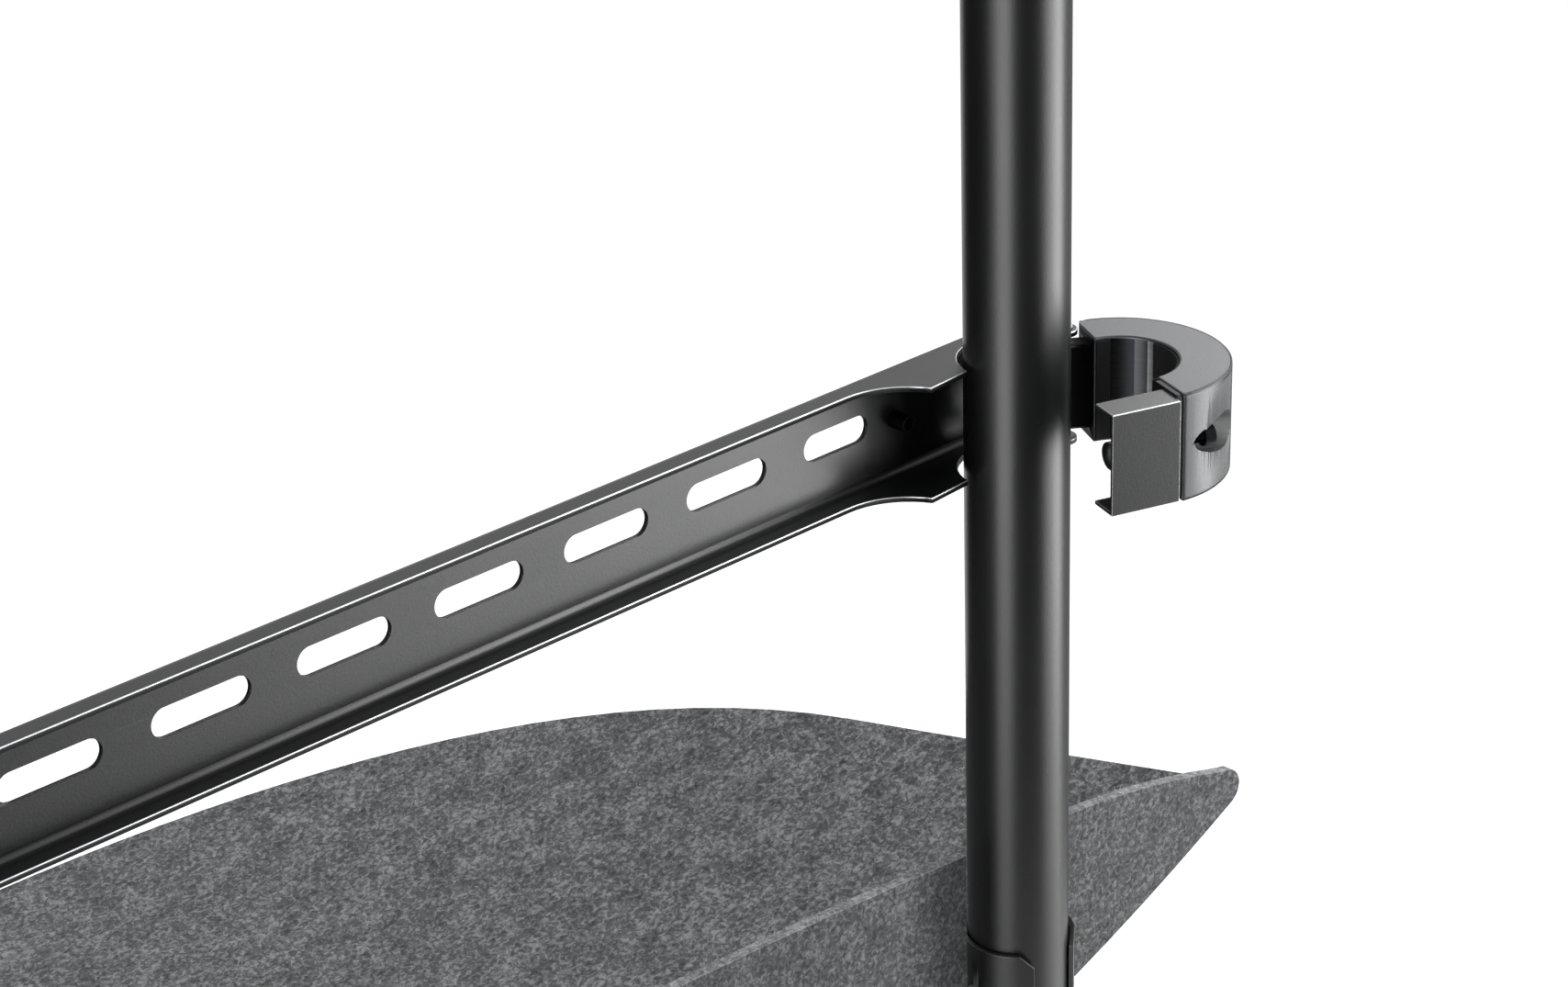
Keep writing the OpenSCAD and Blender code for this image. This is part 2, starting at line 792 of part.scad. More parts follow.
spacer(-1, upper_z, 0);  // upper_left_spacer
bracket(-1, upper_z, 0);  // upper_left_bracket
bracket_sleeve(-1, upper_z, 0);  // upper_left_sleeve
lock_screw(-1, upper_z, 0);  // upper_left_screw
hinge_pin(1, upper_z);  // upper_right_hinge_pin
collar(1, upper_z, 0);  // upper_right_collar
pads(1, upper_z, 0);  // upper_right_pads
spacer(1, upper_z, 0);  // upper_right_spacer
bracket(1, upper_z, 0);  // upper_right_bracket
bracket_sleeve(1, upper_z, 0);  // upper_right_sleeve
lock_screw(1, upper_z, 0);  // upper_right_screw
felt_tray();
tray_sleeve(-1);  // tray_sleeve_left
tray_sleeve(1);  // tray_sleeve_right
tray_rivets();
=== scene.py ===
import math
import random

import bmesh
import bpy
from mathutils import Matrix, Vector


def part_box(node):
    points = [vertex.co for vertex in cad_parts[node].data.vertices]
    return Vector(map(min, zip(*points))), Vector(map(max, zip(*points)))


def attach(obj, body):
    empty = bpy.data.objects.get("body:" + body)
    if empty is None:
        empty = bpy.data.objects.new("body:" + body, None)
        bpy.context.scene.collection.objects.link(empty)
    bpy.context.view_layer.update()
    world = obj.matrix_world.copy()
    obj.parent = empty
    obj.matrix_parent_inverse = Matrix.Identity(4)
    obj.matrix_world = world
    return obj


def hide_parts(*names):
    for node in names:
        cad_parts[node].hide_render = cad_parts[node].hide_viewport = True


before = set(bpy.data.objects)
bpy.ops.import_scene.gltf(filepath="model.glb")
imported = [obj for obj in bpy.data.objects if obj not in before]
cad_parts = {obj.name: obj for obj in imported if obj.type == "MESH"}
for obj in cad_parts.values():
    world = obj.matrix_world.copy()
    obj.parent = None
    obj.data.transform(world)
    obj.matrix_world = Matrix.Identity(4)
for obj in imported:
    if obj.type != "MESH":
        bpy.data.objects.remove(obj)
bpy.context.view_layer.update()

# Base plate: 8 mm steel, cut by laser, with its edges broken by hand.
# It is powder coated black together with the posts.
# Sizes are written in millimetres, and MM turns them to the scene's metres.
MM = 0.001
plate_edge = 0.8
round_steps = 3
sharp_from = math.radians(35)
flat_within = math.radians(0.4)
weld = 0.002
gloss_drift = 70.0


def cleaned(mesh, weld_to):
    """A mesh to work on, with near points welded and each flat face in one piece."""
    work = bmesh.new()
    work.from_mesh(mesh)
    bmesh.ops.remove_doubles(work, verts=work.verts, dist=weld_to * MM)
    bmesh.ops.dissolve_limit(work, angle_limit=flat_within, verts=work.verts, edges=work.edges)
    return work


def whole_round(line):
    """The share of the round for an edge that takes all of it."""
    return 1.0


def mark_sharp_edges(work, share_of):
    """Gives each sharp outward edge the share of the round that it takes."""
    work.normal_update()
    share = work.edges.layers.float.new("bevel_weight_edge")
    for line in work.edges:
        if len(line.link_faces) == 2 and line.is_convex and line.calc_face_angle(0.0) > sharp_from:
            line[share] = share_of(line)


def put_in(work, mesh):
    """Puts the worked mesh in the scene as an object with the mesh's own name."""
    work.to_mesh(mesh)
    work.free()
    mesh.polygons.foreach_set("use_smooth", [True] * len(mesh.polygons))
    piece = bpy.data.objects.new(mesh.name, mesh)
    bpy.context.scene.collection.objects.link(piece)
    return piece


def soften(piece, edge):
    """Rounds a piece's marked edges to a radius in mm, and shades its flats evenly."""
    arris = piece.modifiers.new("arris", "BEVEL")
    arris.width = edge * MM
    arris.segments = round_steps
    arris.limit_method = "WEIGHT"
    arris.miter_outer = "MITER_ARC"
    arris.use_clamp_overlap = False
    shading = piece.modifiers.new("shading", "WEIGHTED_NORMAL")
    shading.keep_sharp = True
    return piece


def eased(node, edge, share_of=whole_round):
    """A CAD node's solid with its sharp edges rounded to a radius in mm."""
    work = cleaned(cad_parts[node].data, weld)
    mark_sharp_edges(work, share_of)
    return soften(put_in(work, bpy.data.meshes.new(node + "_finished")), edge)


def fit_out(piece, finish, body, node, arris_finish=None):
    """Gives a piece its finish, its body and the CAD node that it stands for. Where an arris finish is
    given, the rounds on its edges take it: a pale metal that paints a highlight on them."""
    piece.data.materials.append(finish)
    if arris_finish:
        piece.data.materials.append(arris_finish)
        piece.modifiers["arris"].material = len(piece.data.materials) - 1
    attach(piece, body)
    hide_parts(node)


def tone(sheet_hex):
    """An sRGB hex colour as a linear one."""
    shares = [int(sheet_hex[i:i + 2], 16) / 255 for i in (1, 3, 5)]
    return [c / 12.92 if c <= 0.04045 else ((c + 0.055) / 1.055) ** 2.4 for c in shares] + [1.0]


def shaded(sheet_hex, share):
    """The same colour with its light scaled by a share."""
    return [c * share for c in tone(sheet_hex)[:3]] + [1.0]


def add_node(material, kind, settings=None, links=None):
    """A shader node with its settings, and links from other nodes' sockets into its own."""
    node = material.node_tree.nodes.new("ShaderNode" + kind)
    for name, value in (settings or {}).items():
        if isinstance(name, int) or name in node.inputs:
            node.inputs[name].default_value = value
        else:
            setattr(node, name, value)
    for name, source in (links or {}).items():
        material.node_tree.links.new(source, node.inputs[name])
    return node


def blank_finish(name):
    """A material with no nodes yet."""
    finish = bpy.data.materials.new(name)
    finish.use_nodes = True
    finish.node_tree.nodes.clear()
    return finish


def new_finish(name):
    """A blank material, and the socket with the piece's own coordinates in metres."""
    finish = blank_finish(name)
    return finish, add_node(finish, "TexCoord").outputs["Object"]


def powder_coat(name, colour, roughness, lustre, peel):
    """Baked polyester powder. Its orange peel breaks highlights into soft bands, and its gloss drifts
    over a hand's width. The peel, near 0.3 mm, is drawn at the given size in mm so that it shows."""
    finish, place = new_finish(name)
    drift = add_node(finish, "TexNoise", {"Scale": 1 / (gloss_drift * MM), "Detail": 2.0}, {"Vector": place})
    gloss = add_node(finish, "MapRange", {"To Min": roughness - 0.05, "To Max": roughness + 0.05},
                     {"Value": drift.outputs[0]})
    skin = add_node(finish, "TexNoise", {"Scale": 1 / (peel * MM), "Detail": 3.0, "Roughness": 0.6},
                    {"Vector": place})
    shade = add_node(finish, "ValToRGB", {}, {"Fac": skin.outputs[0]})
    shade.color_ramp.elements[0].position = 0.3
    shade.color_ramp.elements[0].color = shaded(colour, 0.8)
    shade.color_ramp.elements[1].position = 0.7
    shade.color_ramp.elements[1].color = shaded(colour, 1.2)
    relief = add_node(finish, "Bump", {"Strength": 0.8, "Distance": 0.04 * MM}, {"Height": skin.outputs[0]})
    body = add_node(finish, "BsdfPrincipled", {"Specular IOR Level": lustre},
                    {"Base Color": shade.outputs[0], "Roughness": gloss.outputs[0],
                     "Normal": relief.outputs[0]})
    add_node(finish, "OutputMaterial", {}, {"Surface": body.outputs[0]})
    return finish


post_coat = powder_coat("black_powder_coat", "#101112", roughness=0.34, lustre=0.5, peel=0.7)
fit_out(eased("base_plate", plate_edge), post_coat, "stand", "base_plate")

# Foam sheet: closed-cell foam, die cut and glued under the plate.
# It keeps the steel off the floor and shows only as a dark line.
foam_cell = 1.2
foam_edge = 0.5


def foam_sheet(name, colour):
    """Closed-cell foam with a cut skin: matt, with small round cells."""
    finish, place = new_finish(name)
    cells = add_node(finish, "TexVoronoi", {"Scale": 1 / (foam_cell * MM)}, {"Vector": place})
    shade = add_node(finish, "ValToRGB", {}, {"Fac": cells.outputs[0]})
    shade.color_ramp.elements[0].color = shaded(colour, 0.6)
    shade.color_ramp.elements[1].color = tone(colour)
    relief = add_node(finish, "Bump", {"Strength": 0.6, "Distance": 0.2 * MM}, {"Height": cells.outputs[0]})
    body = add_node(finish, "BsdfPrincipled", {"Roughness": 0.9, "Specular IOR Level": 0.3},
                    {"Base Color": shade.outputs[0], "Normal": relief.outputs[0]})
    add_node(finish, "OutputMaterial", {}, {"Surface": body.outputs[0]})
    return finish


underlay = eased("base_underlay", foam_edge)
fit_out(underlay, foam_sheet("foam_underlay", "#2a2a2b"), "stand", "base_underlay")

# Foot bolts: countersunk steel bolts, put in from below, that hold the posts to the plate.
# Black zinc plating leaves them a dark sheen with faint turning rings.
ring_step = 0.8
ring_draw = 0.15
bolt_edge = 0.3


def turned_metal(name, colour, roughness):
    """Turned or bored metal, bare or plated. Fine rings round the piece spread its highlights. Pale and
    dark copies of it paint highlights on arrises, and highlight and shade across the collars' bore."""
    finish, place = new_finish(name)
    stretched = add_node(finish, "Mapping", {"Scale": (ring_draw, ring_draw, 1.0)}, {"Vector": place})
    rings = add_node(finish, "TexNoise", {"Scale": 1 / (ring_step * MM), "Detail": 4.0},
                     {"Vector": stretched.outputs[0]})
    shade = add_node(finish, "ValToRGB", {}, {"Fac": rings.outputs[0]})
    shade.color_ramp.elements[0].position = 0.3
    shade.color_ramp.elements[0].color = shaded(colour, 0.75)
    shade.color_ramp.elements[1].position = 0.75
    shade.color_ramp.elements[1].color = tone(colour)
    gloss = add_node(finish, "MapRange", {"To Min": roughness - 0.08, "To Max": roughness + 0.08},
                     {"Value": rings.outputs[0]})
    relief = add_node(finish, "Bump", {"Strength": 0.3, "Distance": 0.02 * MM}, {"Height": rings.outputs[0]})
    body = add_node(finish, "BsdfPrincipled", {"Metallic": 1.0},
                    {"Base Color": shade.outputs[0], "Roughness": gloss.outputs[0],
                     "Normal": relief.outputs[0]})
    add_node(finish, "OutputMaterial", {}, {"Surface": body.outputs[0]})
    return finish


black_zinc = turned_metal("black_zinc_plating", "#4a4b4e", roughness=0.4)
fit_out(eased("base_bolts", bolt_edge), black_zinc, "stand", "base_bolts")

# Post plugs: turned mild steel, fixed in each post's foot, with a hole for its bolt.
# They stay bright, because nothing shows of them once the post stands.
SIDES = ("left", "right")
plug_edge = 0.4
mild_steel = turned_metal("turned_mild_steel", "#a2a4a8", roughness=0.42)
for side in SIDES:
    plug = "post_plug_" + side
    fit_out(eased(plug, plug_edge), mild_steel, "stand", plug)

# Posts: drawn steel tube, 2 mm wall, powder coated inside and out.
# The tube's ends are cut square and lightly broken before coating.
post_wall = 2.0
post_edge = 0.25
turning_steps = 144


def middle_of(node):
    """The middle of a CAD node's box."""
    low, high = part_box(node)
    return Vector(low).lerp(Vector(high), 0.5)


def turned(outline, centre):
    """A solid of revolution about a vertical axis: outline is a closed loop of (radius, height)."""
    work = bmesh.new()
    rings = []
    for radius, height in outline:
        ring = []
        for i in range(turning_steps):
            turn = 2 * math.pi * i / turning_steps
            spoke = Vector((radius * math.cos(turn), radius * math.sin(turn), height))
            ring.append(work.verts.new(centre + spoke))
        rings.append(ring)
    for low, high in zip(rings, rings[1:] + rings[:1]):
        for i in range(turning_steps):
            j = (i + 1) % turning_steps
            work.faces.new((low[i], low[j], high[j], high[i]))
    bmesh.ops.recalc_face_normals(work, faces=work.faces)
    return work


for side in SIDES:
    post = "post_" + side
    low, high = (Vector(corner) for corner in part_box(post))
    outer = (high.y - low.y) / 2
    inner = outer - post_wall * MM
    wall = [(inner, low.z), (outer, low.z), (outer, high.z), (inner, high.z)]
    tube = turned(wall, Vector((middle_of(post).x, middle_of(post).y, 0)))
    mark_sharp_edges(tube, whole_round)
    piece = soften(put_in(tube, bpy.data.meshes.new(post + "_finished")), post_edge)
    fit_out(piece, post_coat, "stand", post)

# Post caps: moulded black ABS, pressed into the posts' tops.
# The mould was spark eroded, so they are evenly matt.
spark_grain = 0.5
cap_edge = 0.3


def moulded_plastic(name, colour, roughness):
    """Spark-eroded ABS: a fine even grain that keeps highlights dull."""
    finish, place = new_finish(name)
    grain = add_node(finish, "TexNoise", {"Scale": 1 / (spark_grain * MM), "Detail": 2.0}, {"Vector": place})
    shade = add_node(finish, "ValToRGB", {}, {"Fac": grain.outputs[0]})
    shade.color_ramp.elements[0].color = shaded(colour, 0.8)
    shade.color_ramp.elements[1].color = shaded(colour, 1.25)
    relief = add_node(finish, "Bump", {"Strength": 0.5, "Distance": 0.03 * MM}, {"Height": grain.outputs[0]})
    body = add_node(finish, "BsdfPrincipled", {"Roughness": roughness, "Specular IOR Level": 0.3},
                    {"Base Color": shade.outputs[0], "Normal": relief.outputs[0]})
    add_node(finish, "OutputMaterial", {}, {"Surface": body.outputs[0]})
    return finish


black_plastic = moulded_plastic("black_moulded_plastic", "#161718", roughness=0.5)
for side in SIDES:
    cap = "post_cap_" + side
    fit_out(eased(cap, cap_edge), black_plastic, "stand", cap)

# Cross channels: 1.8 mm sheet, slotted and flared by a press, folded to a U and powder coated.
# The rounds on the upper arrises take a pale metal, a painted highlight. The slots' edges are left crisp.
BARS = ("lower", "upper")
sheet_thickness = 1.8
channel_edge = 0.32
# A face looks a way when more than this share of its normal points that way.
facing = 0.9
channel_coat = powder_coat("black_sheet_powder_coat", "#0c0d0e", roughness=0.36, lustre=0.42, peel=0.7)
# Pale metal for the rounds on the sheet's arrises: a painted highlight along them.
arris_painted_highlight = turned_metal("sheet_arris_painted_highlight", "#c2c4c8", roughness=0.4)


def upper_arris_shares(web_y, elsewhere):
    """Shares of the round for a folded sheet: all of it where a top face meets a cut edge in front
    of the web, and the given share elsewhere, as in the slots."""
    def share(line):
        middle = (line.verts[0].co + line.verts[1].co) / 2
        from_top = any(face.normal.z > facing for face in line.link_faces)
        return 1.0 if from_top and middle.y > web_y + 2 * sheet_thickness * MM else elsewhere
    return share


for bar in BARS:
    crossbar = bar + "_crossbar"
    web_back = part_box(crossbar)[0][1]
    fit_out(eased(crossbar, channel_edge, upper_arris_shares(web_back, 0.0)), channel_coat,
            bar + "_channel", crossbar, arris_finish=arris_painted_highlight)

# Standoffs: turned steel with a screw hole, pressed into the channel's web to take the collars' screws.
# They are blackened, and keep only a dull metal sheen.
standoff_edge = 0.2
blackened_steel = turned_metal("blackened_screw_steel", "#0f1011", roughness=0.5)
for bar in BARS:
    standoffs = bar + "_standoffs"
    fit_out(eased(standoffs, standoff_edge), blackened_steel, bar + "_channel", standoffs)

# Hinge pins: steel pins with flat heads, through the channel's ears and the collar's knuckle.
# Bright zinc makes them the lightest metal on the stand.
pin_edge = 0.35
bright_zinc = turned_metal("bright_zinc_plating", "#c4c6ca", roughness=0.3)
for bar in BARS:
    for side in SIDES:
        pin = f"{bar}_{side}_hinge_pin"
        fit_out(eased(pin, pin_edge), bright_zinc, bar + "_channel", pin)

# Collars: zinc die castings with a satin coat, bored for the post. The screw's hole opens through the
# round side as a smooth hollow, and the hinged end's outer corner is turned off to clear the channel.
# Places are in mm from the axis of a closed left collar: towards the lock, towards the back and up.
ENDS = [f"{bar}_{side}" for bar in BARS for side in SIDES]
OPEN_COLLAR = "lower_left"
open_turn = 71.0
collar_edge = 0.8
collar_radius = 35.7
bore_radius = 18.6
hollow_x = 28.8
hollow_from = 6.1
hollow_radius = 6.2
hollow_steps = 64
end_slant = math.radians(9.7)
end_y = 0.4
corner_radius = 3.0
corner_steps = 10
# The tools' overrun past the round side, half their height, and the share by which they pass it.
tool_over = 1.0
tool_half_height = 24.0
past_side = 1.1
# How far from a wall or an end face a facet's middle may lie and still take its finish.
wall_slack = 0.05
face_slack = 0.1
# The finishes' numbers on each collar, after the coat, which is 0.
HOLLOW, LIT_BAND, SHADED_BAND, ARRIS, HINGED_END, HALF_SHADED_BAND = 1, 2, 3, 4, 5, 6
# The bore's bare metal between the pads, in bands by their turn in degrees from the lock, painted from a
# highlight line through half shade to shade.
bore_bands = ((115, 124, LIT_BAND), (124, 136, HALF_SHADED_BAND), (136, 162, SHADED_BAND))
collar_coat = powder_coat("satin_casting_coat", "#535456", roughness=0.36, lustre=0.4, peel=0.5)
# The hollow's faces are painted near black: painted shade in the recess.
hollow_painted_shade = powder_coat("painted_shade_in_the_hollow", "#101112", roughness=0.45, lustre=0.3, peel=0.5)
# Three tones of the bore's zinc: a painted highlight line, then painted half shade and painted shade.
bore_painted_highlight = turned_metal("bored_zinc_painted_highlight", "#a6a8ab", roughness=0.34)
bore_painted_shade = turned_metal("bored_zinc_painted_shade", "#232426", roughness=0.38)
# Metal on the rounds of the collar's arrises: a painted highlight along its edges.
cast_arris_highlight = turned_metal("cast_arris_painted_highlight", "#4c4d50", roughness=0.4)
# The hinged end face is painted near black: painted shade.
hinged_end_painted_shade = powder_coat("painted_shade_on_the_hinged_end", "#060607", roughness=0.5, lustre=0.1, peel=0.5)
# The middle tone of the bore's zinc: painted half shade.
bore_painted_half_shade = turned_metal("bored_zinc_painted_half_shade", "#3c3d3f", roughness=0.36)


def at_collar(end, places):
    """Places on a closed left collar, carried to one of the four collars as it stands."""
    post = middle_of("post_" + end.split("_")[1])
    pin = middle_of(end + "_hinge_pin")
    mirror = 1 if post.x < 0 else -1
    turn = open_turn if end == OPEN_COLLAR else 0.0
    swing = Matrix.Rotation(math.radians(turn) * mirror, 3, "Z")
    carried = []
    for x, y, z in places:
        closed = Vector((post.x + mirror * x * MM, post.y + y * MM, pin.z + z * MM))
        carried.append(pin + swing @ (closed - pin))
    return carried


def prism(work, low, high):
    """A closed solid between two loops of places with the same count."""
    rings = [[work.verts.new(place) for place in loop] for loop in (low, high)]
    count = len(low)
    for i in range(count):
        j = (i + 1) % count
        work.faces.new((rings[0][i], rings[0][j], rings[1][j], rings[1][i]))
    work.faces.new(rings[0])
    work.faces.new(rings[1])


def settled(piece):
    """The piece's mesh as its modifiers leave it."""
    bpy.context.view_layer.update()
    return bpy.data.meshes.new_from_object(piece.evaluated_get(bpy.context.evaluated_depsgraph_get()))


def cut_away(piece, tools):
    """The mesh that is left of a piece when the solids of its tools are cut from it."""
    bmesh.ops.recalc_face_normals(tools, faces=tools.faces)
    tool = put_in(tools, bpy.data.meshes.new(piece.name + "_tool"))
    cut = piece.modifiers.new("cut", "BOOLEAN")
    cut.operation = "DIFFERENCE"
    cut.solver = "EXACT"
    cut.object = tool
    left = settled(piece)
    bpy.data.objects.remove(tool)
    bpy.data.objects.remove(piece)
    return left


def hollow_tool(work, end):
    """A round tool for the hollow that the screw's hole opens into."""
    loops = []
    turns = [2 * math.pi * i / hollow_steps for i in range(hollow_steps)]
    for y in (hollow_from, collar_radius + tool_over):
        rim = [(hollow_x + hollow_radius * math.cos(t), y, hollow_radius * math.sin(t)) for t in turns]
        loops.append(at_collar(end, rim))
    prism(work, *loops)


hinged_corner = Vector((-bore_radius, end_y))
along_end = Vector((math.cos(end_slant), -math.sin(end_slant)))
into_collar = Vector((math.sin(end_slant), math.cos(end_slant)))


def corner_tool(work, end):
    """A tool that turns the hinged end's outer corner off, in a round that meets both faces."""
    start = hinged_corner + into_collar * corner_radius
    reach = collar_radius - corner_radius
    back = start.dot(along_end)
    slide = back + math.sqrt(back * back - start.dot(start) + reach * reach)
    centre = start - along_end * slide
    first = math.atan2(-into_collar.y, -into_collar.x)
    last = math.atan2(centre.y, centre.x) - 2 * math.pi
    turns = [first + (last - first) * i / corner_steps for i in range(corner_steps + 1)]
    outline = [centre + Vector((math.cos(t), math.sin(t))) * corner_radius for t in turns]
    outline.append(outline[-1] * past_side)
    outline.append(outline[-1] - along_end * 2 * corner_radius)
    outline.append(outline[0] - along_end * 3 * corner_radius)
    heights = (-tool_half_height, tool_half_height)
    prism(work, *(at_collar(end, [(p.x, p.y, z) for p in outline]) for z in heights))


def collar_finish(spot):
    """The number of the finish at a place on the collar."""
    flat = Vector((spot.x, spot.y))
    in_hollow = Vector((spot.x - hollow_x, spot.z)).length < hollow_radius + wall_slack
    if in_hollow and spot.y > hollow_from - face_slack:
        return HOLLOW
    if spot.x < 0 and (flat - hinged_corner).dot(into_collar) < face_slack:
        return HINGED_END
    if flat.length < bore_radius + wall_slack:
        turn = math.degrees(math.atan2(spot.y, spot.x))
        for band_from, band_to, finish in bore_bands:
            if band_from <= turn < band_to:
                return finish
    return 0


def machined_collar(end):
    """The casting with its hollow sunk and its hinged corner turned off. Its edges are marked before
    it is cut, so the tools leave theirs crisp."""
    node = end + "_collar"
    work = cleaned(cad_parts[node].data, weld)
    mark_sharp_edges(work, whole_round)
    casting = put_in(work, bpy.data.meshes.new(node + "_finished"))
    tools = bmesh.new()
    hollow_tool(tools, end)
    corner_tool(tools, end)
    machined = cut_away(casting, tools)
    collar = put_in(cleaned(machined, weld), machined)
    axis, lockwards, backwards = at_collar(end, [(0, 0, 0), (1, 0, 0), (0, 1, 0)])
    for face in machined.polygons:
        offset = (face.center - axis) / MM
        spot = Vector((offset.dot(lockwards - axis) / MM, offset.dot(backwards - axis) / MM, offset.z))
        face.material_index = collar_finish(spot)
    return soften(collar, collar_edge)


for end in ENDS:
    collar = machined_collar(end)
    fit_out(collar, collar_coat, end + "_clamp", end + "_collar")
    for finish in (hollow_painted_shade, bore_painted_highlight, bore_painted_shade, cast_arris_highlight, hinged_end_painted_shade, bore_painted_half_shade):
        collar.data.materials.append(finish)
    collar.modifiers["arris"].material = ARRIS

# Pads: black nitrile rubber, moulded flat and glued into the bore's recesses.
# They grip the post without marking its coat.
pad_edge = 0.12
bloom_patch = 6.0


def moulded_rubber(name, colour):
    """Nitrile rubber: dull black, with a faint bloom where it was handled."""
    finish, place = new_finish(name)
    bloom = add_node(finish, "TexNoise", {"Scale": 1 / (bloom_patch * MM), "Detail": 4.0}, {"Vector": place})
    shade = add_node(finish, "ValToRGB", {}, {"Fac": bloom.outputs[0]})
    shade.color_ramp.elements[0].color = tone(colour)
    shade.color_ramp.elements[1].color = shaded(colour, 2.0)
    relief = add_node(finish, "Bump", {"Strength": 0.2, "Distance": 0.05 * MM}, {"Height": bloom.outputs[0]})
    body = add_node(finish, "BsdfPrincipled", {"Roughness": 0.75, "Specular IOR Level": 0.2},
                    {"Base Color": shade.outputs[0], "Normal": relief.outputs[0]})
    add_node(finish, "OutputMaterial", {}, {"Surface": body.outputs[0]})
    return finish


pad_rubber = moulded_rubber("black_nitrile_rubber", "#08080a")
for end in ENDS:
    pads = end + "_pads"
    fit_out(eased(pads, pad_edge), pad_rubber, end + "_clamp", pads)

# Spacers: thin moulded plates between the collar's flat end and its bracket.
# They stand a little proud and draw a black line between the two.
spacer_edge = 0.2
spacer_plastic = moulded_plastic("black_spacer_plastic", "#0b0c0d", roughness=0.45)
for end in ENDS:
    spacer = end + "_spacer"
    fit_out(eased(spacer, spacer_edge), spacer_plastic, end + "_clamp", spacer)

# Brackets: sheet steel folded to a U, which closes over the channel's end. The coat is greyer and
# glossier than the channel's, and the rounds on its arrises take a pale metal, a painted highlight.
bracket_edge = 0.35
bracket_edge_share = 0.25
# A bracket has no web at its back, so this place, in metres, lies behind all of its edges.
no_web = -1.0
bracket_coat = powder_coat("grey_sheet_coat", "#0f1011", roughness=0.3, lustre=0.6, peel=0.6)
for end in ENDS:
    bracket = end + "_bracket"
    fit_out(eased(bracket, bracket_edge, upper_arris_shares(no_web, bracket_edge_share)), bracket_coat,
            end + "_clamp", bracket, arris_finish=arris_painted_highlight)

# Sleeves: short moulded tubes inside the brackets, round the screws.
# They are of the caps' black ABS.
sleeve_edge = 0.25
for end in ENDS:
    sleeve = end + "_sleeve"
    fit_out(eased(sleeve, sleeve_edge), black_plastic, end + "_clamp", sleeve)

# Screws: blackened steel, turned, and held captive in the collars.
# Each slides into its standoff to lock the closed collar to the channel.
screw_edge = 0.2
for end in ENDS:
    screw = end + "_screw"
    fit_out(eased(screw, screw_edge), blackened_steel, end + "_lock", screw)

# Tray sleeves: short steel tube with a slit and tabs, which slides on each post under the felt.
# They are powder coated with the posts.
tray_sleeve_edge = 0.3
for side in SIDES:
    tray_sleeve = "tray_sleeve_" + side
    fit_out(eased(tray_sleeve, tray_sleeve_edge), post_coat, "tray", tray_sleeve)

# Tray rivets: steel rivets with black zinc plating.
# They are closed through the felt and the sleeves' tabs.
rivet_edge = 0.2
fit_out(eased("tray_rivets", rivet_edge), black_zinc, "tray", "tray_rivets")

# Felt tray: polyester felt, 4 mm, cut by die and folded hot, so it stands by itself.
# Dark and light fibres give a mottled grey. The cut edges are a little paler and fray, and their arrises are
# painted near white, a painted highlight.
bow_radius = 850.0
tray_low = 523.1
bow_centre_z = tray_low + bow_radius
felt_thickness = 4.0
felt_weld = 0.15
fold_round = 1.6
fold_steps = 5
inner_fold_share = 0.5
cut_edge_share = 0.45
# In thicknesses of felt: how far from the wall's back the fold's edges and the whole bend reach, and
# how high above the floor's underside the wall begins.
fold_reach, bend_reach, wall_from = 1.2, 2.0, 1.6
# A face with less of its normal across the sheet than the first share is die cut, and one with less than the
# second lies on an arris, which takes a painted highlight.
die_cut_below, arris_below = 0.3, 0.93
tip_round = 7.0
tip_steps = 8
# How far the tip's tool reaches behind the wall and ahead of it, how far it drifts inwards and down
# on the way, so that it runs out along the floor, and how far it clears the felt.
tip_behind, tip_ahead = 1.0, 20.0
tip_drift_in, tip_drift_down = 3.4, 0.4
tip_clear, tip_clear_corner = 3.0, 5.0
clump = 2.1
cloud = 12.0
fibre = 0.7
DIE_CUT, ARRIS_HIGHLIGHT = 1, 2


def pressed_felt(name, dark, middle, light):
    """Needled melange felt: clumps of light and dark fibres of a few millimetres, fine fibres across
    them, and a napped surface with a soft sheen. Fibres are drawn thicker than they are to show."""
    finish, place = new_finish(name)
    clumps = add_node(finish, "TexNoise", {"Scale": 1 / (clump * MM), "Detail": 3.0, "Roughness": 0.6,
                                           "Distortion": 0.8}, {"Vector": place})
    clouds = add_node(finish, "TexNoise", {"Scale": 1 / (cloud * MM), "Detail": 2.0}, {"Vector": place})
    fibres = add_node(finish, "TexNoise", {"Scale": 1 / (fibre * MM), "Detail": 2.0, "Distortion": 2.0},
                      {"Vector": place})
    blend = add_node(finish, "Math", {"operation": "MULTIPLY_ADD", 1: 0.3},
                     {0: clouds.outputs[0], 2: clumps.outputs[0]})
    total = add_node(finish, "Math", {"operation": "MULTIPLY_ADD", 1: 0.35},
                     {0: fibres.outputs[0], 2: blend.outputs[0]})
    shade = add_node(finish, "ValToRGB", {}, {"Fac": total.outputs[0]})
    shade.color_ramp.elements[0].position = 0.62
    shade.color_ramp.elements[0].color = tone(dark)
    shade.color_ramp.elements[1].position = 1.02
    shade.color_ramp.elements[1].color = tone(light)
    shade.color_ramp.elements.new(0.82).color = tone(middle)
    relief = add_node(finish, "Bump", {"Strength": 0.7, "Distance": 0.3 * MM}, {"Height": total.outputs[0]})
    body = add_node(finish, "BsdfPrincipled", {"Roughness": 0.95, "Specular IOR Level": 0.1,
                                               "Sheen Weight": 0.12, "Sheen Roughness": 0.5},
                    {"Base Color": shade.outputs[0], "Normal": relief.outputs[0]})
    add_node(finish, "OutputMaterial", {}, {"Surface": body.outputs[0]})
    return finish


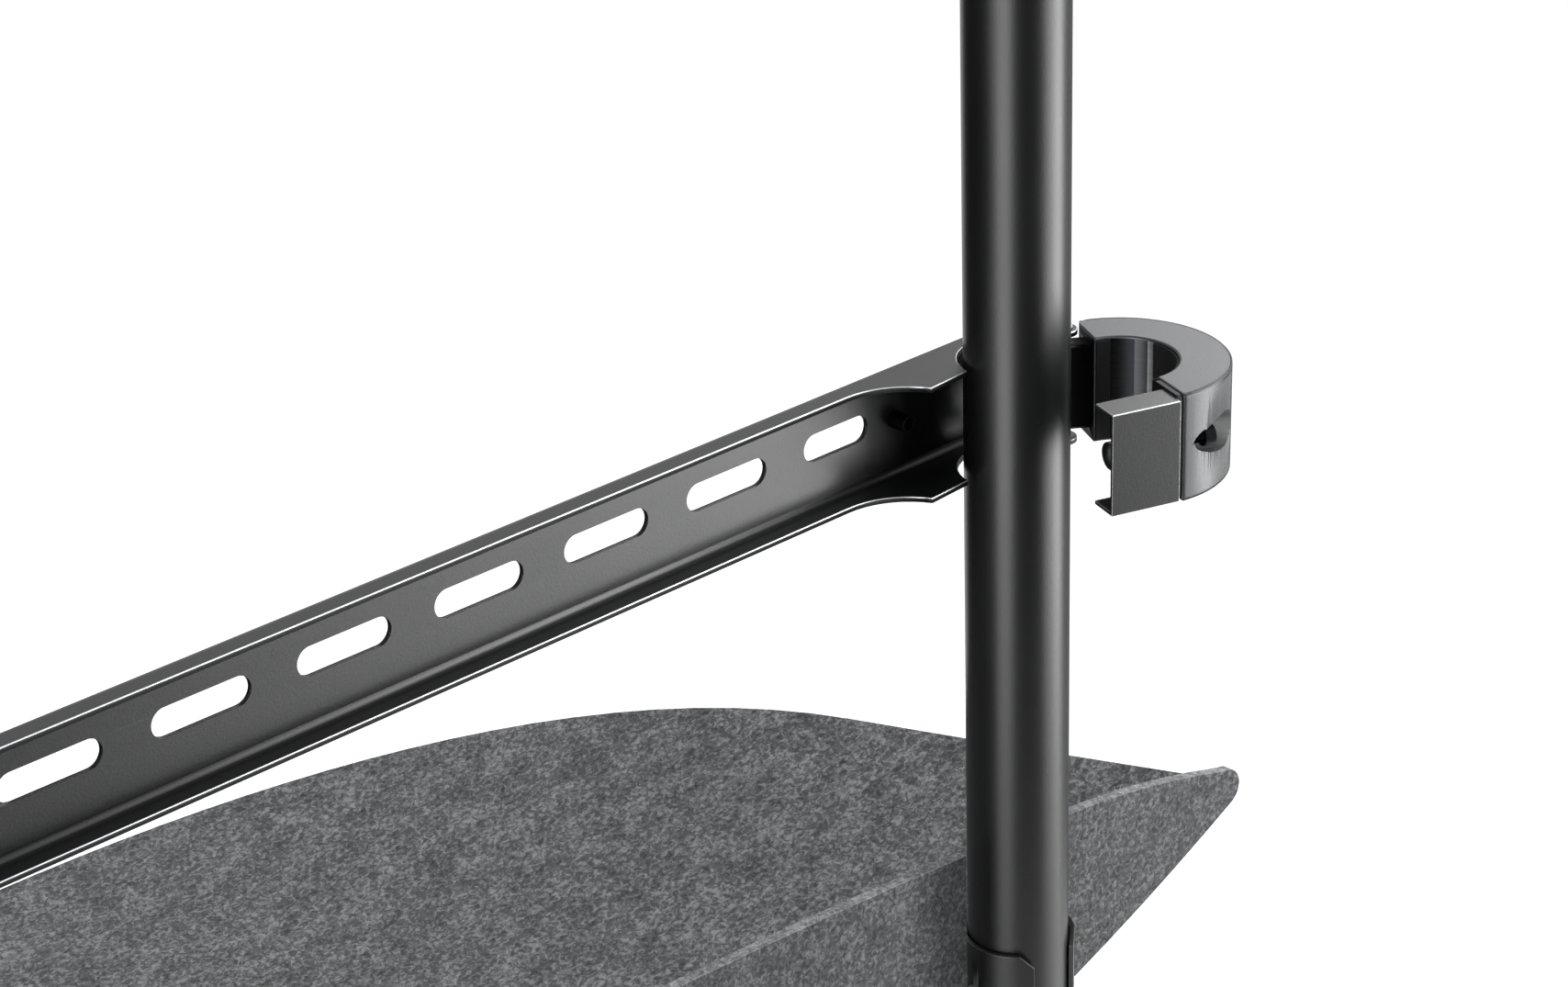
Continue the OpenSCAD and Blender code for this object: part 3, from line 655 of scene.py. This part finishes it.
felt = pressed_felt("melange_felt", "#343537", "#565759", "#858688")
cut_felt = pressed_felt("melange_felt_cut_edge", "#454648", "#68696b", "#949597")
# Near white on the felt's arrises: a painted highlight where the fuzz catches the light.
felt_arris_highlight = pressed_felt("melange_felt_arris_painted_highlight", "#8f9092", "#bbbcbe", "#e4e4e5")


def from_bow_axis(place):
    """The way from the axis that the floor is bowed about to a place, across that axis."""
    return Vector((place.x, 0, place.z - bow_centre_z * MM))


def tip_tool(work, side):
    """A tool for one end of the wall. It rounds the tip's lower corner and runs out along the floor.
    The outline is in the upright plane, in mm."""
    tip_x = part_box("felt_tray")[1][0] / MM
    corner = Vector((side * tip_x, bow_centre_z - math.sqrt(bow_radius ** 2 - tip_x ** 2)))
    down = (corner - Vector((0, bow_centre_z))).normalized()
    aside = Vector((side, 0))
    up, inward = Vector((0, 1)), Vector((side * down.y, -side * down.x))
    half = up.angle(inward) / 2
    middle = corner + (up + inward).normalized() * tip_round / math.sin(half)
    start, end = (corner + way * tip_round / math.tan(half) for way in (up, inward))
    turn = (start - middle).angle_signed(end - middle)
    outline = []
    for i in range(tip_steps + 1):
        spoke = start - middle
        spoke.rotate(Matrix.Rotation(-turn * i / tip_steps, 2))
        outline.append(middle + spoke)
    outline += [end + down * tip_clear, corner + (down + aside) * tip_clear_corner, start + aside * tip_clear]
    rear = [Vector((p.x, tip_behind, p.y)) * MM for p in outline]
    front = [Vector((p.x - side * tip_drift_in, -tip_ahead, p.y - tip_drift_down)) * MM for p in outline]
    prism(work, rear, front)


def folded_felt(node):
    """The tray as it comes from the fold: a full round on the fold and a small soft one on each cut."""
    tools = bmesh.new()
    for side in (-1, 1):
        tip_tool(tools, side)
    sheet = put_in(cleaned(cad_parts[node].data, weld), bpy.data.meshes.new(node + "_finished"))
    work = cleaned(cut_away(sheet, tools), felt_weld)
    share = work.edges.layers.float.new("bevel_weight_edge")
    for line in work.edges:
        line.smooth = True
        if len(line.link_faces) != 2 or line.calc_face_angle(0.0) < sharp_from:
            continue
        middle = (line.verts[0].co + line.verts[1].co) / 2
        away = from_bow_axis(middle).normalized()
        walls = [f for f in line.link_faces if abs(f.normal.y) > facing]
        floors = [f for f in line.link_faces if abs(f.normal.dot(away)) > facing]
        by_wall = middle.y > -fold_reach * felt_thickness * MM
        if len(walls) == 1 and len(floors) == 1 and by_wall:
            line[share] = 1.0 if line.is_convex else inner_fold_share
        else:
            line[share] = cut_edge_share
    piece = put_in(work, bpy.data.meshes.new(node + "_finished"))
    fold = piece.modifiers.new("fold", "BEVEL")
    fold.width = fold_round * MM
    fold.segments = fold_steps
    fold.limit_method = "WEIGHT"
    piece.data = settled(piece)
    piece.modifiers.clear()
    shading = piece.modifiers.new("shading", "WEIGHTED_NORMAL")
    shading.keep_sharp = True
    return piece


def felt_finish(place, normal):
    """0 on the felt's own two faces, DIE_CUT where the die cut it, and the arrises' finish, a painted
    highlight, on the arrises.
    """
    across_floor = abs(normal.dot(from_bow_axis(place).normalized()))
    if from_bow_axis(place).length < (bow_radius - wall_from * felt_thickness) * MM:
        lies = abs(normal.y)
    elif place.y > -bend_reach * felt_thickness * MM:
        lies = math.sqrt(across_floor ** 2 + normal.y ** 2)
    else:
        lies = across_floor
    return DIE_CUT if lies < die_cut_below else ARRIS_HIGHLIGHT if lies < arris_below else 0


tray = folded_felt("felt_tray")
fit_out(tray, felt, "tray", "felt_tray")
tray.data.materials.append(cut_felt)
tray.data.materials.append(felt_arris_highlight)
for face in tray.data.polygons:
    face.material_index = felt_finish(face.center, face.normal)

# Hairs: single polyester fibres that the die and the needling leave standing, most of them on the
# cut edges. Each is a curved ribbon, drawn several times thicker than the fibre so that it shows.
hair_width = 0.12
hair_tip_share = 0.4
hair_bend_share = 0.35
hair_lean = 0.7
hair_streak = 3.0
shortest_hair, longest_hair = 0.5, 1.7
hairs_on_faces, hairs_on_cuts, hairs_on_arrises = 3000, 3000, 10000
hair_seed = 11


def fibre_tone_and_sheen(name, colour):
    """Polyester fibre: pale grey, slightly glossy, and darker in places along its length. The pale grey is
    partly the fibre's own and partly a painted highlight, the light that the fuzz catches.
    """
    finish, place = new_finish(name)
    streak = add_node(finish, "TexNoise", {"Scale": 1 / (hair_streak * MM), "Detail": 1.0}, {"Vector": place})
    shade = add_node(finish, "ValToRGB", {}, {"Fac": streak.outputs[0]})
    shade.color_ramp.elements[0].position = 0.35
    shade.color_ramp.elements[0].color = shaded(colour, 0.45)
    shade.color_ramp.elements[1].position = 0.65
    shade.color_ramp.elements[1].color = tone(colour)
    body = add_node(finish, "BsdfPrincipled", {"Roughness": 0.6, "Specular IOR Level": 0.3},
                    {"Base Color": shade.outputs[0]})
    add_node(finish, "OutputMaterial", {}, {"Surface": body.outputs[0]})
    return finish


def any_way(chance):
    """A vector that points any way, drawn by chance."""
    return Vector([chance.gauss(0, 1) for _ in range(3)])


def stand_hairs(piece, counts):
    """Hairs on each finish of a piece, chosen by area, seeded so that each run gives the same ones."""
    chance = random.Random(hair_seed)
    work = bmesh.new()
    mesh = piece.data
    mesh.calc_loop_triangles()
    for kind, count in enumerate(counts):
        patches = [t for t in mesh.loop_triangles if mesh.polygons[t.polygon_index].material_index == kind]
        for patch in chance.choices(patches, weights=[t.area for t in patches], k=count):
            a, b, c = (mesh.vertices[i].co for i in patch.vertices)
            u, v = sorted((chance.random(), chance.random()))
            foot = a * u + b * (v - u) + c * (1 - v)
            rise = (Vector(patch.normal) + any_way(chance) * hair_lean).normalized()
            bend = any_way(chance).normalized()
            broad = rise.cross(bend).normalized() * hair_width / 2 * MM
            length = chance.uniform(shortest_hair, longest_hair) * MM
            ribs = []
            for share in (0.0, 0.5, 1.0):
                spine = foot + rise * length * share + bend * length * hair_bend_share * share * share
                half_width = broad * (1.0 - (1.0 - hair_tip_share) * share)
                ribs.append((work.verts.new(spine - half_width), work.verts.new(spine + half_width)))
            for low, high in zip(ribs, ribs[1:]):
                work.faces.new((low[0], low[1], high[1], high[0]))
    hairs_mesh = bpy.data.meshes.new("tray_hairs")
    work.to_mesh(hairs_mesh)
    work.free()
    hairs = bpy.data.objects.new("tray_hairs", hairs_mesh)
    bpy.context.scene.collection.objects.link(hairs)
    return hairs


hairs = stand_hairs(tray, (hairs_on_faces, hairs_on_cuts, hairs_on_arrises))
# The hairs' pale grey is partly a painted highlight along the felt's edges.
hairs.data.materials.append(fibre_tone_and_sheen("loose_fibre_with_painted_sheen", "#cfd0d2"))
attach(hairs, "tray")

# Camera: where the photograph was taken from, a little above the tray and close to the open collar.
# Places are in metres. Heading and dip say where it looks, and roll how it leans.
eye = Vector((0.55114, 0.74412, 1.27886))
heading, dip, roll = (math.radians(a) for a in (226.7008, -24.7527, -1.7613))
focal_length, sensor_width = 84.45, 36.0
far_limit = 100.0
camera = bpy.data.objects.new("camera", bpy.data.cameras.new("camera"))
bpy.context.scene.collection.objects.link(camera)
bpy.context.scene.camera = camera
ahead = Vector((math.cos(heading) * math.cos(dip), math.sin(heading) * math.cos(dip), math.sin(dip)))
level = ahead.cross(Vector((0, 0, 1))).normalized()
upright = level.cross(ahead)
across = level * math.cos(roll) + upright * math.sin(roll)
upward = upright * math.cos(roll) - level * math.sin(roll)
camera.matrix_world = Matrix.Translation(eye) @ Matrix((across, upward, -ahead)).transposed().to_4x4()
camera.data.lens = focal_length
camera.data.sensor_width = sensor_width
camera.data.clip_end = far_limit

# Studio floor: matt pale paint. It glows a little where the camera or a mirror sees it, so that it
# comes out white, and the light that it gives back to the stand stays plain.
floor_half = 12.0
floor_paint = "#c4c4c4"
floor_glow = 0.8
floor_mesh = bpy.data.meshes.new("studio_floor")
corners = [(x * floor_half, y * floor_half, 0) for x, y in ((-1, -1), (1, -1), (1, 1), (-1, 1))]
floor_mesh.from_pydata(corners, [], [(0, 1, 2, 3)])
floor = bpy.data.objects.new("studio_floor", floor_mesh)
bpy.context.scene.collection.objects.link(floor)


def seen_directly(material):
    """1 for rays from the camera, from a mirror or through glass, and 0 for the rest."""
    path = add_node(material, "LightPath")
    first = add_node(material, "Math", {"operation": "MAXIMUM"},
                     {0: path.outputs["Is Camera Ray"], 1: path.outputs["Is Glossy Ray"]})
    both = add_node(material, "Math", {"operation": "MAXIMUM"},
                    {0: first.outputs[0], 1: path.outputs["Is Transmission Ray"]})
    return both.outputs[0]


white_floor = blank_finish("white_studio_floor")
paint = add_node(white_floor, "BsdfDiffuse", {"Color": tone(floor_paint)})
glow = add_node(white_floor, "Emission", {"Color": tone("#ffffff"), "Strength": floor_glow})
lit = add_node(white_floor, "AddShader", {}, {0: paint.outputs[0], 1: glow.outputs[0]})
shown = add_node(white_floor, "MixShader", {}, {0: seen_directly(white_floor), 1: paint.outputs[0],
                                               2: lit.outputs[0]})
add_node(white_floor, "OutputMaterial", {}, {"Surface": shown.outputs[0]})
floor_mesh.materials.append(white_floor)

# Room: even white light from all round, weak, so that the soft boxes shape the stand.
# The camera and the mirrors see a white backdrop instead.
room_light = 0.2
backdrop_light = 1.0
world = bpy.data.worlds.new("white_studio")
bpy.context.scene.world = world
world.use_nodes = True
world.node_tree.nodes.clear()
room = add_node(world, "Background", {"Color": tone("#ffffff"), "Strength": room_light})
backdrop = add_node(world, "Background", {"Color": tone("#ffffff"), "Strength": backdrop_light})
mixed = add_node(world, "MixShader", {}, {0: seen_directly(world), 1: room.outputs[0],
                                          2: backdrop.outputs[0]})
add_node(world, "OutputWorld", {}, {"Surface": mixed.outputs[0]})

# Soft boxes: cloth boxes on stands round the open collar's post. Five show only in the coats' sheen,
# as the post's bright bands and on the upper faces. One more lights from overhead, and one from the
# side throws the post's shadow on the felt. Azimuths are in degrees, and other places in metres.
collar_level = 0.8
middle_level = 1.0
lit_post = middle_of("post_left")


def soft_box(name, azimuth, distance, height, wide, tall, radiance, aim=collar_level, sheen_only=True):
    """A soft box turned to the post at the height of its aim. Its power follows from its area and the
    brightness that a mirror shows of it. One for sheen only adds nothing to the plain light."""
    turn = math.radians(azimuth)
    lamp = bpy.data.objects.new(name, bpy.data.lights.new(name, "AREA"))
    bpy.context.scene.collection.objects.link(lamp)
    lamp.data.shape = "RECTANGLE"
    lamp.data.size = wide
    lamp.data.size_y = tall
    lamp.data.energy = radiance * math.pi * wide * tall
    away = Vector((math.cos(turn), math.sin(turn), 0)) * distance
    lamp.location = Vector((lit_post.x, lit_post.y, height)) + away
    faced = Vector((lit_post.x, lit_post.y, aim))
    lamp.rotation_euler = (faced - lamp.location).to_track_quat("-Z", "Y").to_euler()
    lamp.visible_camera = False
    lamp.visible_diffuse = not sheen_only
    lamp.visible_glossy = sheen_only


soft_box("left_soft_box", azimuth=12.0, distance=1.3, height=middle_level, wide=0.92, tall=1.9,
         radiance=4.9, aim=middle_level)
soft_box("right_soft_box", azimuth=117.0, distance=1.3, height=middle_level, wide=0.58, tall=1.9,
         radiance=4.2, aim=middle_level)
soft_box("right_bright_box", azimuth=139.0, distance=1.3, height=middle_level, wide=0.52, tall=1.9,
         radiance=9.5, aim=middle_level)
soft_box("back_soft_box", azimuth=208.0, distance=2.4, height=2.0, wide=0.8, tall=1.2, radiance=4.2)
soft_box("high_soft_box", azimuth=132.0, distance=1.5, height=2.5, wide=1.3, tall=1.3, radiance=2.6)
soft_box("overhead_light", azimuth=250.0, distance=0.4, height=3.0, wide=2.0, tall=2.0, radiance=4.8,
         sheen_only=False)
soft_box("side_light", azimuth=157.0, distance=1.3, height=middle_level, wide=0.25, tall=1.3,
         radiance=34.0, aim=middle_level, sheen_only=False)

# Boards: curved boards of black and grey cloth on the floor, which keep the white studio out of the
# posts' sheen. Only mirror rays see them, so they throw no shadow and show in no view.
# Their sizes are in metres.
board_radius = 1.0
board_height = 1.0
board_steps = 16
board_lift = 0.002


def board(name, cloth, azimuth_from, azimuth_to):
    """A board round the open collar's post, between two azimuths in degrees."""
    places = []
    for i in range(board_steps + 1):
        turn = math.radians(azimuth_from + (azimuth_to - azimuth_from) * i / board_steps)
        away = Vector((math.cos(turn), math.sin(turn), 0)) * board_radius
        foot = Vector((lit_post.x, lit_post.y, board_lift)) + away
        places += [foot, foot + Vector((0, 0, board_height))]
    panels = [(2 * i, 2 * i + 2, 2 * i + 3, 2 * i + 1) for i in range(board_steps)]
    board_mesh = bpy.data.meshes.new(name)
    board_mesh.from_pydata(places, [], panels)
    board_mesh.materials.append(cloth)
    panel = bpy.data.objects.new(name, board_mesh)
    bpy.context.scene.collection.objects.link(panel)
    panel.visible_camera = False
    panel.visible_diffuse = False
    panel.visible_transmission = False
    panel.visible_shadow = False


def studio_cloth(name, colour):
    """Cloth on a board, as bright in a mirror as its colour is written."""
    cloth = blank_finish(name)
    shown = add_node(cloth, "Emission", {"Color": tone(colour)})
    add_node(cloth, "OutputMaterial", {}, {"Surface": shown.outputs[0]})
    return cloth


black_cloth = studio_cloth("black_studio_cloth", "#3c3c3c")
grey_cloth = studio_cloth("grey_studio_cloth", "#a2a2a2")
board("left_board", black_cloth, -98.0, -9.0)
board("front_board", black_cloth, 33.0, 103.0)
board("right_board", grey_cloth, 154.0, 232.0)

bpy.context.scene.view_settings.view_transform = "Standard"
